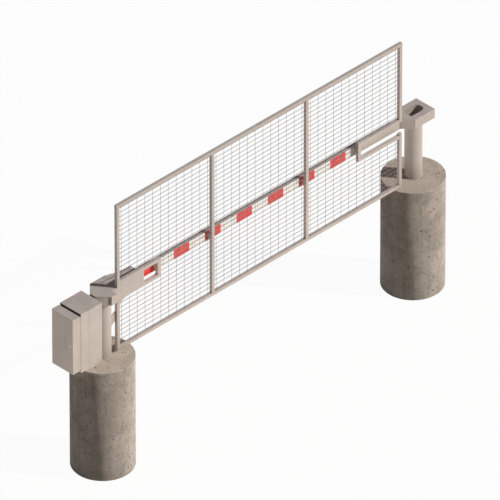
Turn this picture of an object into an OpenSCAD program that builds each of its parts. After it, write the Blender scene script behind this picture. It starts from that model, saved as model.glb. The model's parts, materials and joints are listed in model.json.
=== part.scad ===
// Drop arm pivot gate: a crash beam with a mesh leaf that turns up about the head of the left post.
// X runs from the pivot post to the catch post, Z is up, and Y runs from the drivers' side to the back.
// The origin is the centre of the left footing's underside.

/* [Footings] */
// Diameter of each round concrete footing
footing_d = 914.4; // [880:0.1:960]
// Height of each footing
footing_h = 1828.8; // [1500:0.1:2200]
// Distance between the axes of the two posts
post_spacing = 6096; // [5700:1:6900]

/* [Posts] */
// Outside diameter of the round steel posts
post_d = 254; // [246:0.1:256]
// Wall of the posts
post_wall = 12.7; // [8:0.1:16]
// Depth that each post stands in its footing
post_embed = 914.4; // [700:0.1:1100]

/* [Crash beam] */
// Height of the beam's centre line over the footings
arm_level = 1016; // [1000:0.1:1060]
// Height of the beam section
beam_h = 152.4; // [140:0.1:160]
// Depth of the beam section, front to back
beam_depth = 76.2; // [72:0.1:82]
// Wall of the beam
beam_wall = 6.4; // [5:0.1:8]
// Gap between the beam's end and the nose of the catch head
end_gap = 6.3; // [4:0.1:8]
// Distance from the left post to the first red sheet
stripe_start = 737; // [700:1:780]
// Distance from the last sheet to the right bracket
stripe_stop = 81; // [60:1:110]
// Length of a red sheet
stripe_len = 305; // [260:1:340]
// Distance from one red sheet to the next
stripe_pitch = 612; // [560:1:660]
// Thickness of the reflective sheets
sheet_t = 1; // [0.8:0.1:1.5]

/* [Arm root] */
// Height of the arm root
root_h = 152.4; // [146:0.1:156]
// Reach of the root's nose past the post axis
root_nose = 185.4; // [182:0.1:187]
// Half the width of the flat nose
root_nose_half = 53.3; // [48:0.1:58]
// Half the width of the root
root_half = 215.9; // [210:0.1:222]
// Length of the root from the post axis to the beam
root_len = 675.6; // [650:0.1:682]
// Radius under the nose
root_round = 106.7; // [100:0.1:107]
// Wall of the root
root_wall = 12.7; // [10:0.1:14]
// Reach of the front lobe of the root past the post axis
lobe_x = 71; // [69:0.1:74]

/* [Pivot] */
// Distance from the post axis back to the pivot axis
pivot_back = 117; // [115:0.1:119]
// Height of the pivot axis over the beam's centre line
pivot_rise = 38.1; // [36:0.1:40]
// Radius of the pivot shaft
shaft_r = 18.5; // [16:0.1:19]
// Radius of the bearing pedestal round the shaft
boss_r = 28.5; // [27:0.1:28.6]
// Length of the pedestal along the shaft
pedestal_len = 70; // [60:0.5:72]
// Thickness of the saddle plate on the post
saddle_t = 25.4; // [20:0.1:28]

/* [Drive] */
// Drop of the lug pin below the pivot axis when the arm is down
lug_drop = 165; // [162:0.5:168]
// Distance of the lug pin past the pivot axis when the arm is down
lug_run = 82.5; // [78:0.5:86]
// Run of the link rod, from crank to arm
link_run = 304; // [304:0.5:312]
// Rise of the link rod, from crank to arm
link_rise = 727; // [700:1:740]
// Distance of the drive lug from the gate's centre plane
lug_side = 160; // [156:0.5:164]
// Radius of the two link pins
link_pin_r = 12; // [10:0.1:13]

/* [Mesh leaf] */
// Width of the square tubes of the leaf and its brackets
tube_w = 50.8; // [48:0.1:52]
// Wall of the square tubes
tube_wall = 3.2; // [2.5:0.1:4]
// Height of the leaf
leaf_h = 2438.4; // [2300:0.1:2500]
// Gap between the footings and the leaf
leaf_gap = 30.5; // [20:0.1:40]
// Distance from the left post to the leaf's left edge
leaf_left = 170.2; // [168:0.1:175]
// Distance from the leaf's right edge to the beam's end
leaf_back = 42; // [40:0.1:50]
// Gap between the leaf and the beam
leaf_off = 35.6; // [35:0.1:36.5]
// Number of bays in the leaf
bay_count = 3; // [2:1:4]
// Diameter of the level wires
wire_d = 7.5; // [5:0.1:8]
// Diameter of the upright wires
upright_d = 4.5; // [4:0.1:7]
// Distance between the upright wires
wire_pitch_x = 152.4; // [140:0.1:170]
// Distance between the level wires
wire_pitch_z = 76.2; // [70:0.1:90]

/* [Brackets] */
// Drop of the brackets below the beam's centre line
bracket_low = 147; // [140:0.1:150]
// Rise of the brackets over the beam's centre line
bracket_high = 168; // [164:0.1:172]
// Distance from the left post to the left bracket's right edge
bracket_left_end = 1021; // [1000:1:1050]
// Width of the left bracket's right border
bracket_border = 63; // [55:1:70]
// Width of the window in the left bracket
window_w = 270; // [240:1:280]
// Sheet thickness of the left bracket
bracket_t = 9.5; // [8:0.1:10]
// Radius of the hollow corner below the left bracket
gusset_r = 216; // [200:1:230]
// Width of that corner from the stile
gusset_w = 170; // [160:1:175]
// Length of the right bracket from the leaf's right edge
bracket_right_len = 861; // [840:1:900]
// Drop of the break in the right stile below the beam's centre line
notch_low = 74; // [70:0.1:80]
// Rise of the break in the right stile over the beam's centre line
notch_high = 130; // [122:0.1:134]

/* [Catch head] */
// Height of the catch head
catch_h = 152.4; // [146:0.1:156]
// Reach of its nose towards the beam, from the right post
catch_nose = 305; // [304:0.1:306]
// Half the width of its flat nose
catch_nose_half = 25.4; // [25:0.1:28]
// Half the width of the catch head
catch_half = 183; // [176:0.1:190]
// Reach of its back edge past the right post
catch_back = 236; // [228:0.1:245]
// Half the width of the well in its top
well_half = 84; // [80:0.1:88]
// Distance from the right post to the straight end of the well
well_front = 127; // [124:0.1:132]
// Distance from the right post to the centre of the well's round end
well_round = 70; // [60:0.1:78]
// Thickness of the well's floor
well_floor = 12.7; // [10:0.1:16]

/* [Lock] */
// Radius of the lock bolt
bolt_r = 15.9; // [14:0.1:16.2]
// Travel of the lock bolt
bolt_travel = 110; // [100:1:112]

/* [Cabinet] */
// Distance from the left post to the cabinet's near wall
cabinet_x = 203.2; // [202:0.1:205]
// Length of the cabinet body along the gate
cabinet_len = 406.4; // [400:0.1:420]
// Width of the cabinet
cabinet_w = 406.4; // [404:0.1:420]
// Height of the cabinet's floor over the footings
cabinet_low = 92; // [84:1:100]
// Height of the cabinet body
cabinet_h = 985; // [974:1:988]
// Wall of the cabinet
cabinet_wall = 3; // [2.5:0.1:3.2]
// Length of the neck that the door closes on
neck_len = 22; // [18:0.1:26]
// Depth of the door pan
door_depth = 132; // [120:1:150]
// Height of the door's lower edge over the cabinet's floor
door_low = 46; // [38:1:54]
// Drop of the door's upper edge below the cabinet's top
door_drop = 22; // [18:0.5:28]
// Sheet thickness of the door
door_wall = 2.5; // [2:0.1:3]

/* [Hidden] */
$fn = 64;

// Paint and materials
paint = [0.76, 0.71, 0.66];
paint_shade = [0.70, 0.65, 0.60];
concrete = [0.60, 0.57, 0.53];
steel = [0.62, 0.63, 0.65];
wire_grey = [0.66, 0.67, 0.69];
dark = [0.20, 0.20, 0.21];

// One overrun serves every cut
over = 2;
// Running clearance of a pin or shaft in its bore
run_fit = 0.05;
// Gap between parts that meet face to face on moving bodies
seat_gap = 0.3;

// Levels
arm_z = footing_h + arm_level;
root_z0 = arm_z - root_h / 2;
root_z1 = arm_z + root_h / 2;
catch_z0 = arm_z - catch_h / 2;
catch_z1 = arm_z + catch_h / 2;
post_r = post_d / 2;

// Leaf
leaf_back_y = -beam_depth / 2 - leaf_off;
leaf_front_y = leaf_back_y - tube_w;
leaf_mid_y = leaf_back_y - tube_w / 2;
leaf_z0 = footing_h + leaf_gap;
leaf_z1 = leaf_z0 + leaf_h;
beam_end_x = post_spacing - catch_nose - end_gap;
leaf_right = beam_end_x - leaf_back;
cap_t = tube_wall;
bay_pitch = (leaf_right - leaf_left - tube_w) / bay_count;
rail_low_z = leaf_z0 + tube_w;
rail_high_z = leaf_z1 - tube_w;
bracket_z0 = arm_z - bracket_low;
bracket_z1 = arm_z + bracket_high;
bracket_right_x = leaf_right - bracket_right_len;
right_stile_x = leaf_right - tube_w;
left_stile_end = leaf_left + tube_w;

// Left bracket's window and hollow corner
window_x1 = bracket_left_end - bracket_border;
window_x0 = window_x1 - window_w;
window_z0 = bracket_z0 + tube_w;
window_z1 = bracket_z1 - tube_w;
gusset_x = left_stile_end + gusset_w;
gusset_z = bracket_z0 - gusset_r;
gusset_low = bracket_z0 - gusset_r + sqrt(gusset_r * gusset_r - gusset_w * gusset_w);
post_relief = 5;

// Reflective sheets
stripe_end = bracket_right_x - stripe_stop;
stripe_gap = stripe_pitch - stripe_len;
stripe_count = ceil((stripe_end - stripe_start - stripe_len) / stripe_pitch);

// Mesh wires
wire_r = wire_d / 2;
upright_r = upright_d / 2;
weld_gap = 0.1;
level_y = leaf_mid_y - wire_r - weld_gap / 2;
upright_y = leaf_mid_y + upright_r + weld_gap / 2;

// Arm root in plan
root_flat_x = 254;
root_taper_x = [386, 508];
root_taper_y = [170, 140];
root_end_y = 127;
root_diag = sqrt(2);
nose_cut_x = -root_nose + root_round;
root_skin = 6.4;
face_reach = (root_nose + root_nose_half) / root_diag;
slot_share = [0.49, 0.775];

// Pivot and drive
pivot_x = -pivot_back;
pivot_z = arm_z + pivot_rise;
swing_gap = 3;
bush_wall = 4;
shaft_r_fit = shaft_r + run_fit;
bush_r = shaft_r + bush_wall;
pedestal_half = pedestal_len / 2;
washer_t = 4;
fork_half = pedestal_half + seat_gap + washer_t;
shaft_half = 90;
washer_r = bush_r + 3;
saddle_edge = 9;
rib_t = 12;
rib_drop = 90;
rib_inset = 3;

bar_t = 15;
bar_gap = 2;
bar_half = 15;
eye_r = 24;
pin_head = 3;
pin_head_r = link_pin_r + 5;
open_fit = 0.4;
lug_y0 = lug_side;
lug_y1 = lug_y0 + bar_t;
link_y1 = lug_y0 - bar_gap;
link_y0 = link_y1 - bar_t;
crank_r = sqrt(lug_drop * lug_drop + lug_run * lug_run);
crank_low = atan2(lug_drop, lug_run);
lug_x = pivot_x + lug_run;
lug_z = pivot_z - lug_drop;
crank_x = pivot_x - link_run;
crank_z = pivot_z - link_rise;
tip_x = crank_x + lug_run;
tip_z = crank_z - lug_drop;
link_len = sqrt(link_run * link_run + link_rise * link_rise);
link_angle = atan2(link_rise, link_run);

// Gearbox, motor and shelf
box_half = [75, 75, 85];
box_front_y = lug_y0 - 40;
box_mid_y = box_front_y - box_half[1];
out_shaft_r = 20;
out_boss_r = 35;
out_boss_t = 12;
out_shaft_in = 70;
crank_hub_r = 38;
shelf_t = 8;
shelf_half_w = 130;
shelf_edge = 10;
shelf_leg = 74;
motor_flange_t = 12;
motor_flange_r = 74;
motor_r = 62;
motor_len = 150;
cowl_r = 68;
cowl_len = 60;
fin_count = 24;
fin_t = 3;
fin_out = 5;

// Cabinet
cab_x1 = -cabinet_x;
cab_x0 = cab_x1 - cabinet_len;
cab_half = cabinet_w / 2;
cab_z0 = footing_h + cabinet_low;
cab_z1 = cab_z0 + cabinet_h;
door_z0 = cab_z0 + door_low;
door_z1 = cab_z1 - door_drop;
neck_in = 20;
neck_side = 4;
neck_half = cab_half - neck_side;
neck_z0 = door_z0 + neck_in;
neck_z1 = door_z1 - neck_in;
lip_w = 34;
neck_x = cab_x0 - neck_len;
seal_t = 3;
seal_out = 2;
seal_in = 11;
door_x1 = neck_x - seal_t;
door_x0 = door_x1 - door_depth;
door_return = 43;
slot_margin = 10;
slot_slope = link_rise / link_run;
slot_reach = bar_half * link_len / link_run + slot_margin;
slot_base = crank_z + (cab_x1 - crank_x) * slot_slope;
slot_z0 = slot_base - crank_r * sqrt(1 + slot_slope * slot_slope) - slot_reach;
slot_z1 = slot_base + crank_r * (sin(90 - crank_low) - slot_slope * cos(90 - crank_low)) + slot_reach;
slot_side = 8;

// Cabinet brackets and bolts
mount_low = 209;
mount_gap = 25;
mount_h = 100;
mount_half = 70;
mount_t = 10;
mount_z = [cab_z0 + mount_low, root_z0 - saddle_t - rib_drop - mount_gap - mount_h / 2];
mount_bolt_y = 42;
mount_bolt_r = 6;
mount_head_r = 10;
mount_head_t = 8;

// Control unit
unit_len = 240;
unit_depth = 80;
unit_h = 320;
unit_drop = 115;
unit_back = 95;
unit_lid_t = 20;
unit_lid_in = 6;

// Conduit hub in the floor
hub_share_x = 0.73;
hub_share_y = 0.5;
hub_x = cab_x1 - cabinet_len * hub_share_x;
hub_y = -cab_half * hub_share_y;
hub_bore_r = 13.5;
hub_r = 20;
hub_flange_r = 30;
hub_flange_t = 6;
hub_below = 30;
hub_above = 16;

// Hinges and latch
knuckle_r = 6.5;
hinge_pin_r = 3;
leaf_t = 2.5;
leaf_w = 30;
hinge_len = 90;
hinge_in = 150;
hinge_x = (cab_x0 + door_x1) / 2;
hinge_y = cab_half + knuckle_r;
hinge_levels = [door_z0 + hinge_in, door_z1 - hinge_in];
latch_inset = 61;
latch_y = -cab_half + latch_inset;
latch_z = (door_z0 + door_z1) / 2;
latch_r = 14;
latch_rim_r = 18;
latch_rim_t = 2;
latch_len = 28;
latch_rod_r = 5;
cam_t = 4;
cam_len = 34;
cam_half = 7;
cam_gap = 1.5;
cam_x0 = cab_x0 + cabinet_wall + cam_gap;

// Stop on the left post
stop_t = 18;
stop_bumper_t = 12;
stop_x1 = leaf_left - seat_gap - stop_bumper_t;
stop_low = [422, 525];
stop_high = [605, 678];

// Lock
guide_len = 150;
guide_fit = 0.2;
bolt_back = 5;
bolt_len = 240;
rod_r = 8;
rod_len = 235;
actuator_start = 258;
actuator_len = 240;
socket_extra = 1.1;
socket_len = bolt_travel + 12;

// Pads between leaf and beam
pad_h = 100;

module block(lo, hi) {
    translate(lo) cube(hi - lo);
}

module round_x(r, x0, x1, y, z) {
    translate([x0, y, z]) rotate([0, 90, 0]) cylinder(r = r, h = x1 - x0);
}

module round_y(r, y0, y1, x, z) {
    translate([x, y0, z]) rotate([-90, 0, 0]) cylinder(r = r, h = y1 - y0);
}

module round_z(r, z0, z1, x, y) {
    translate([x, y, z0]) cylinder(r = r, h = z1 - z0);
}

// A profile drawn in X and Z, given depth along Y
module upright_plate(y0, y1) {
    translate([0, y1, 0]) rotate([90, 0, 0]) linear_extrude(height = y1 - y0) children();
}

// A square tube along X
module tube_x(x0, x1, y0, z0, w, t) {
    difference() {
        block([x0, y0, z0], [x1, y0 + w, z0 + w]);
        block([x0 - over, y0 + t, z0 + t], [x1 + over, y0 + w - t, z0 + w - t]);
    }
}

// A square tube along Z
module tube_z(z0, z1, x0, y0, w, t) {
    difference() {
        block([x0, y0, z0], [x0 + w, y0 + w, z1]);
        block([x0 + t, y0 + t, z0 - over], [x0 + w - t, y0 + w - t, z1 + over]);
    }
}

// Footings and posts

module footing(x) {
    difference() {
        round_z(footing_d / 2, 0, footing_h, x, 0);
        round_z(post_r, footing_h - post_embed, footing_h + over, x, 0);
    }
}

module post(x, top) {
    difference() {
        round_z(post_r, footing_h - post_embed, top, x, 0);
        round_z(post_r - post_wall, footing_h - post_embed - over, top + over, x, 0);
    }
}

module left_footing() {
    color(concrete) footing(0);
}

module right_footing() {
    color(concrete) footing(post_spacing);
}

module left_post() {
    color(paint) post(0, root_z0 - saddle_t);
}

module right_post() {
    color(paint) post(post_spacing, catch_z0);
}

// Catch head: the beam's nose faces it, and its well is open from above

module catch_head() {
    chamfer_x = post_spacing - catch_nose + catch_half - catch_nose_half;
    color(paint) difference() {
        translate([0, 0, catch_z0]) linear_extrude(height = catch_h) polygon([
            [post_spacing - catch_nose, -catch_nose_half],
            [chamfer_x, -catch_half],
            [post_spacing + catch_back, -catch_half],
            [post_spacing + catch_back, catch_half],
            [chamfer_x, catch_half],
            [post_spacing - catch_nose, catch_nose_half]
        ]);
        block([post_spacing - well_front, -well_half, catch_z0 + well_floor],
              [post_spacing + well_round, well_half, catch_z1 + over]);
        round_z(well_half, catch_z0 + well_floor, catch_z1 + over, post_spacing + well_round, 0);
        round_x(bolt_r + socket_extra, post_spacing - catch_nose - over,
                post_spacing - catch_nose + socket_len, 0, arm_z);
    }
}

// Pivot on the left post

module pivot_saddle() {
    color(paint) union() {
        round_z(post_r, root_z0 - saddle_t, root_z0, 0, 0);
        block([pivot_x - boss_r - saddle_edge, -pedestal_half - saddle_edge, root_z0 - saddle_t],
              [0, pedestal_half + saddle_edge, root_z0]);
    }
}

module saddle_rib() {
    rib_z = root_z0 - saddle_t;
    rib_x = pivot_x - boss_r - saddle_edge + rib_inset;
    color(paint) difference() {
        upright_plate(-rib_t / 2, rib_t / 2) polygon([
            [0, rib_z], [rib_x, rib_z], [rib_x, rib_z - rib_t], [-post_r, rib_z - rib_drop], [0, rib_z - rib_drop]
        ]);
        round_z(post_r, rib_z - rib_drop - over, rib_z + over, 0, 0);
    }
}

// The pedestal stands in the fork of the arm root
module bearing_pedestal() {
    color(paint) difference() {
        union() {
            round_y(boss_r, -pedestal_half, pedestal_half, pivot_x, pivot_z);
            block([pivot_x - boss_r, -pedestal_half, root_z0], [pivot_x + boss_r, pedestal_half, pivot_z]);
        }
        round_y(bush_r, -pedestal_half - over, pedestal_half + over, pivot_x, pivot_z);
    }
}

module pivot_bush() {
    color("goldenrod") difference() {
        round_y(bush_r, -pedestal_half, pedestal_half, pivot_x, pivot_z);
        round_y(shaft_r_fit, -pedestal_half - over, pedestal_half + over, pivot_x, pivot_z);
    }
}

module stop_bracket() {
    color(paint_shade) difference() {
        upright_plate(leaf_back_y - stop_t, leaf_back_y) polygon([
            [0, footing_h + stop_low[0]], [stop_x1, footing_h + stop_low[1]],
            [stop_x1, footing_h + stop_high[1]], [0, footing_h + stop_high[0]]
        ]);
        round_z(post_r, footing_h, root_z0, 0, 0);
    }
}

module stop_bumper() {
    color(dark)
        block([stop_x1, leaf_back_y - stop_t, footing_h + stop_low[1]],
              [stop_x1 + stop_bumper_t, leaf_back_y, footing_h + stop_high[1]]);
}

// Cabinet beside the left post

module cabinet_sides() {
    color(paint)
        for (y = [-cab_half, cab_half - cabinet_wall])
            block([cab_x0, y, cab_z0], [cab_x1, y + cabinet_wall, cab_z1]);
}

module cabinet_ends() {
    inner_half = cab_half - cabinet_wall;
    color(paint) difference() {
        for (z = [cab_z0, cab_z1 - cabinet_wall])
            block([cab_x0, -inner_half, z], [cab_x1, inner_half, z + cabinet_wall]);
        round_z(hub_r, cab_z0 - over, cab_z0 + cabinet_wall + over, hub_x, hub_y);
    }
}

module cabinet_back() {
    inner_half = cab_half - cabinet_wall;
    color(paint) difference() {
        block([cab_x1 - cabinet_wall, -inner_half, cab_z0 + cabinet_wall],
              [cab_x1, inner_half, cab_z1 - cabinet_wall]);
        block([cab_x1 - cabinet_wall - over, link_y0 - slot_side, slot_z0],
              [cab_x1 + over, link_y1 + slot_side, slot_z1]);
        mount_bolt_holes();
    }
}

// The front wall has a mouth with a lip, and the neck stands round it
module cabinet_front() {
    inner_half = cab_half - cabinet_wall;
    color(paint) difference() {
        union() {
            block([cab_x0, -inner_half, cab_z0 + cabinet_wall],
                  [cab_x0 + cabinet_wall, inner_half, cab_z1 - cabinet_wall]);
            block([neck_x, -neck_half, neck_z0], [cab_x0, neck_half, neck_z1]);
        }
        block([neck_x - over, cabinet_wall - neck_half, neck_z0 + cabinet_wall],
              [cab_x0, neck_half - cabinet_wall, neck_z1 - cabinet_wall]);
        block([cab_x0 - over, lip_w - neck_half, neck_z0 + lip_w],
              [cab_x0 + cabinet_wall + over, neck_half - lip_w, neck_z1 - lip_w]);
    }
}

module mount_bolt_holes() {
    for (i = [0, 1], side = [-1, 1])
        round_x(mount_bolt_r + run_fit, cab_x1 - cabinet_wall - over, cab_x1 + mount_t + over,
                side * mount_bolt_y, mount_z[i]);
}

module cabinet_brackets() {
    color(paint_shade) difference() {
        for (i = [0, 1])
            difference() {
                block([cab_x1, -mount_half, mount_z[i] - mount_h / 2],
                      [0, mount_half, mount_z[i] + mount_h / 2]);
                block([cab_x1 + mount_t, -mount_half - over, mount_z[i] - mount_h / 2 + mount_t],
                      [over, mount_half + over, mount_z[i] + mount_h / 2 - mount_t]);
            }
        round_z(post_r, cab_z0, cab_z1, 0, 0);
        mount_bolt_holes();
    }
}

module cabinet_bolts() {
    color(steel)
        for (i = [0, 1], side = [-1, 1]) {
            translate([cab_x1 - cabinet_wall - mount_head_t, side * mount_bolt_y, mount_z[i]])
                rotate([0, 90, 0]) cylinder(r = mount_head_r, h = mount_head_t, $fn = 6);
            round_x(mount_bolt_r, cab_x1 - cabinet_wall - mount_head_t / 2,
                    cab_x1 + mount_t + mount_head_t + over, side * mount_bolt_y, mount_z[i]);
            translate([cab_x1 + mount_t, side * mount_bolt_y, mount_z[i]])
                rotate([0, 90, 0]) cylinder(r = mount_head_r, h = mount_head_t, $fn = 6);
        }
}

module gearbox_shelf() {
    shelf_z1 = crank_z - box_half[2];
    shelf_x0 = crank_x - box_half[0] - shelf_edge;
    shelf_x1 = cab_x1 - cabinet_wall;
    color(steel) union() {
        block([shelf_x0, box_mid_y - shelf_half_w, shelf_z1 - shelf_t],
              [shelf_x1, box_front_y, shelf_z1]);
        block([shelf_x1 - shelf_t, box_mid_y - shelf_half_w, shelf_z1 - shelf_t - shelf_leg],
              [shelf_x1, box_front_y, shelf_z1 - shelf_t / 2]);
        for (y = [box_mid_y - shelf_half_w, box_front_y - shelf_t])
            upright_plate(y, y + shelf_t) polygon([
                [shelf_x0, shelf_z1 - shelf_t], [shelf_x1 - shelf_t, shelf_z1 - shelf_t - shelf_leg],
                [shelf_x1, shelf_z1 - shelf_t - shelf_leg], [shelf_x1, shelf_z1 - shelf_t / 2],
                [shelf_x0, shelf_z1 - shelf_t / 2]
            ]);
    }
}

module gearbox() {
    color([0.35, 0.38, 0.42]) difference() {
        union() {
            block([crank_x - box_half[0], box_mid_y - box_half[1], crank_z - box_half[2]],
                  [crank_x + box_half[0], box_front_y, crank_z + box_half[2]]);
            round_y(out_boss_r, box_front_y - over, box_front_y + out_boss_t, crank_x, crank_z);
        }
        round_y(out_shaft_r + run_fit, box_front_y - out_shaft_in, box_front_y + out_boss_t + over,
                crank_x, crank_z);
    }
}

module drive_motor() {
    z0 = crank_z + box_half[2];
    z1 = z0 + motor_flange_t;
    z2 = z1 + motor_len;
    color([0.30, 0.33, 0.37]) union() {
        round_z(motor_flange_r, z0, z1, crank_x, box_mid_y);
        round_z(motor_r, z1 - over, z2 + over, crank_x, box_mid_y);
        round_z(cowl_r, z2, z2 + cowl_len, crank_x, box_mid_y);
        for (i = [0 : fin_count - 1])
            translate([crank_x, box_mid_y, z1 - over]) rotate([0, 0, i * 360 / fin_count])
                translate([motor_r / 2, -fin_t / 2, 0])
                    cube([motor_r / 2 + fin_out, fin_t, motor_len + over * 2]);
    }
}

module control_unit() {
    x1 = cab_x1 - unit_back;
    y0 = -cab_half + cabinet_wall;
    z1 = cab_z1 - unit_drop;
    color([0.78, 0.79, 0.80]) union() {
        block([x1 - unit_len, y0, z1 - unit_h], [x1, y0 + unit_depth - unit_lid_t, z1]);
        block([x1 - unit_len + unit_lid_in, y0 + unit_depth - unit_lid_t - over, z1 - unit_h + unit_lid_in],
              [x1 - unit_lid_in, y0 + unit_depth, z1 - unit_lid_in]);
    }
}

module conduit_hub() {
    color(steel) difference() {
        union() {
            round_z(hub_r, cab_z0 - hub_below, cab_z0 + cabinet_wall + hub_above, hub_x, hub_y);
            round_z(hub_flange_r, cab_z0 - hub_flange_t, cab_z0, hub_x, hub_y);
            round_z(hub_flange_r, cab_z0 + cabinet_wall, cab_z0 + cabinet_wall + hub_flange_t, hub_x, hub_y);
        }
        round_z(hub_bore_r, cab_z0 - hub_below - over, cab_z0 + cabinet_wall + hub_above + over,
                hub_x, hub_y);
    }
}

module door_seal() {
    color(dark) difference() {
        block([door_x1 + seat_gap, -neck_half - seal_out, neck_z0 - seal_out],
              [neck_x, neck_half + seal_out, neck_z1 + seal_out]);
        block([door_x1 - over, seal_in - neck_half, neck_z0 + seal_in],
              [neck_x + over, neck_half - seal_in, neck_z1 - seal_in]);
    }
}

// Door and its hinges

module door_shell() {
    color(paint) difference() {
        block([door_x0, -cab_half, door_z0], [door_x1, cab_half, door_z1]);
        block([door_x0 + door_wall, door_wall - cab_half, door_z0 + door_wall],
              [door_x1 - door_wall, cab_half - door_wall, door_z1 - door_wall]);
        block([door_x0 + door_depth / 2, door_return - cab_half, door_z0 + door_return],
              [door_x1 + over, cab_half - door_return, door_z1 - door_return]);
        round_x(latch_r, door_x0 - over, door_x0 + door_wall + over, latch_y, latch_z);
    }
}

// One knuckle of a hinge, with its leaf on the side given
module knuckle(z0, z1, side, edge_x) {
    difference() {
        union() {
            round_z(knuckle_r, z0, z1, hinge_x, hinge_y);
            block([min(hinge_x, edge_x + side * leaf_w), cab_half, z0],
                  [max(hinge_x, edge_x + side * leaf_w), cab_half + leaf_t, z1]);
        }
        round_z(hinge_pin_r + run_fit, z0 - over, z1 + over, hinge_x, hinge_y);
    }
}

module hinge_fixed_leaves() {
    third = hinge_len / 3;
    color(steel)
        for (level = hinge_levels) {
            knuckle(level - hinge_len / 2, level - hinge_len / 2 + third - seat_gap, 1, cab_x0);
            knuckle(level + hinge_len / 2 - third + seat_gap, level + hinge_len / 2, 1, cab_x0);
        }
}

module hinge_door_leaves() {
    color(steel)
        for (level = hinge_levels)
            knuckle(level - hinge_len / 6, level + hinge_len / 6, -1, door_x1);
}

module hinge_pins() {
    color(steel)
        for (level = hinge_levels)
            round_z(hinge_pin_r, level - hinge_len / 2, level + hinge_len / 2, hinge_x, hinge_y);
}

module latch_barrel() {
    color(steel) difference() {
        union() {
            round_x(latch_rim_r, door_x0 - latch_rim_t, door_x0, latch_y, latch_z);
            round_x(latch_r, door_x0 - latch_rim_t, door_x0 + latch_len, latch_y, latch_z);
        }
        round_x(latch_rod_r + run_fit, door_x0 - latch_rim_t - over, door_x0 + latch_len + over,
                latch_y, latch_z);
    }
}

module latch_cam() {
    color(steel) union() {
        round_x(latch_rod_r, door_x0 - latch_rim_t, cam_x0 + cam_t, latch_y, latch_z);
        block([cam_x0, latch_y - cam_half, latch_z], [cam_x0 + cam_t, latch_y + cam_half, latch_z + cam_len]);
        round_x(cam_half, cam_x0, cam_x0 + cam_t, latch_y, latch_z);
    }
}

// Drive from the gearbox to the arm

module output_shaft() {
    color(steel)
        round_y(out_shaft_r, box_front_y - out_shaft_in, lug_y1, crank_x, crank_z);
}

// A flat bar with an eye at each end, from one centre to the other
module eye_bar(y0, y1, centre, angle, reach, r0, r1, hole0, hole1) {
    upright_plate(y0, y1) translate(centre) rotate(angle) difference() {
        union() {
            circle(r = r0);
            translate([0, -bar_half]) square([reach, 2 * bar_half]);
            translate([reach, 0]) circle(r = r1);
        }
        circle(r = hole0);
        translate([reach, 0]) circle(r = hole1);
    }
}

module drive_crank() {
    color([0.45, 0.46, 0.48])
        eye_bar(lug_y0, lug_y1, [crank_x, crank_z], -crank_low, crank_r,
                crank_hub_r, eye_r, out_shaft_r, link_pin_r);
}

// A headed pin through a crank or lug and the eye beside it
module link_pin(x, z) {
    union() {
        round_y(link_pin_r, link_y0 - bar_gap, lug_y1 + bar_gap, x, z);
        round_y(pin_head_r, link_y0 - bar_gap - pin_head, link_y0 - bar_gap, x, z);
        round_y(pin_head_r, lug_y1, lug_y1 + pin_head, x, z);
    }
}

module crank_pin() {
    color(steel) link_pin(tip_x, tip_z);
}

module link_rod() {
    color([0.45, 0.46, 0.48])
        eye_bar(link_y0, link_y1, [tip_x, tip_z], link_angle, link_len,
                eye_r, eye_r, link_pin_r + run_fit, link_pin_r + open_fit);
}

// Arm root: a deep plate with a 45 degree nose, hollow from below

function root_outline(inset) =
    let (
        side = root_half - inset,
        nose_x = -root_nose + inset,
        nose_y = root_nose_half - inset * (root_diag - 1),
        chamfer_x = -root_nose + root_half - root_nose_half + inset * (root_diag - 1)
    ) [
        [nose_x, -nose_y], [chamfer_x, -side], [lobe_x - inset, -side],
        [lobe_x - inset, leaf_back_y + inset], [root_len - inset, leaf_back_y + inset],
        [root_len - inset, root_end_y - inset], [root_taper_x[1], root_taper_y[1] - inset],
        [root_taper_x[0], root_taper_y[0] - inset], [root_flat_x, side],
        [chamfer_x, side], [nose_x, nose_y]
    ];

// The hollow under the root, behind its nose
module root_hollow(z0, z1, inset) {
    intersection() {
        translate([0, 0, z0]) linear_extrude(height = z1 - z0) polygon(root_outline(inset));
        block([nose_cut_x + inset - root_wall, -root_half, z0], [root_len, root_half, z1]);
    }
}

module arm_root() {
    color(paint) difference() {
        translate([0, 0, root_z0]) linear_extrude(height = root_h) polygon(root_outline(0));
        root_hollow(root_z0 - over, root_z1 - root_wall, root_wall);
        difference() {
            block([-root_nose - over, -root_half, root_z0 - over],
                  [nose_cut_x, root_half, root_z0 + root_round]);
            round_y(root_round, -root_half - over, root_half + over, nose_cut_x, root_z0 + root_round);
        }
        block([-root_nose - over, -fork_half, root_z0 - over],
              [pivot_x + boss_r + swing_gap, fork_half, root_z1 - root_skin]);
        round_y(shaft_r, -shaft_half, root_half, pivot_x, pivot_z);
        rotate([0, 0, -45])
            block([slot_share[0] * face_reach, -face_reach - over, root_z0 - over],
                  [slot_share[1] * face_reach, root_wall - face_reach + over, root_z1 - root_wall]);
    }
}

module root_base_plate() {
    color(paint_shade) root_hollow(root_z0, root_z0 + root_wall, root_wall + guide_fit);
}

module pivot_shaft() {
    color(steel) round_y(shaft_r, -shaft_half, shaft_half, pivot_x, pivot_z);
}

module thrust_washers() {
    color(steel)
        for (y = [-fork_half, fork_half - washer_t])
            difference() {
                round_y(washer_r, y, y + washer_t, pivot_x, pivot_z);
                round_y(shaft_r, y - over, y + washer_t + over, pivot_x, pivot_z);
            }
}

module drive_lug() {
    color(paint_shade) difference() {
        union() {
            round_y(eye_r, lug_y0, lug_y1, lug_x, lug_z);
            block([lug_x - eye_r, lug_y0, lug_z], [lug_x + eye_r, lug_y1, root_z0]);
        }
        round_y(link_pin_r, lug_y0 - over, lug_y1 + over, lug_x, lug_z);
    }
}

module lug_pin() {
    color(steel) link_pin(lug_x, lug_z);
}

// Crash beam with its reflective sheets

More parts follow.
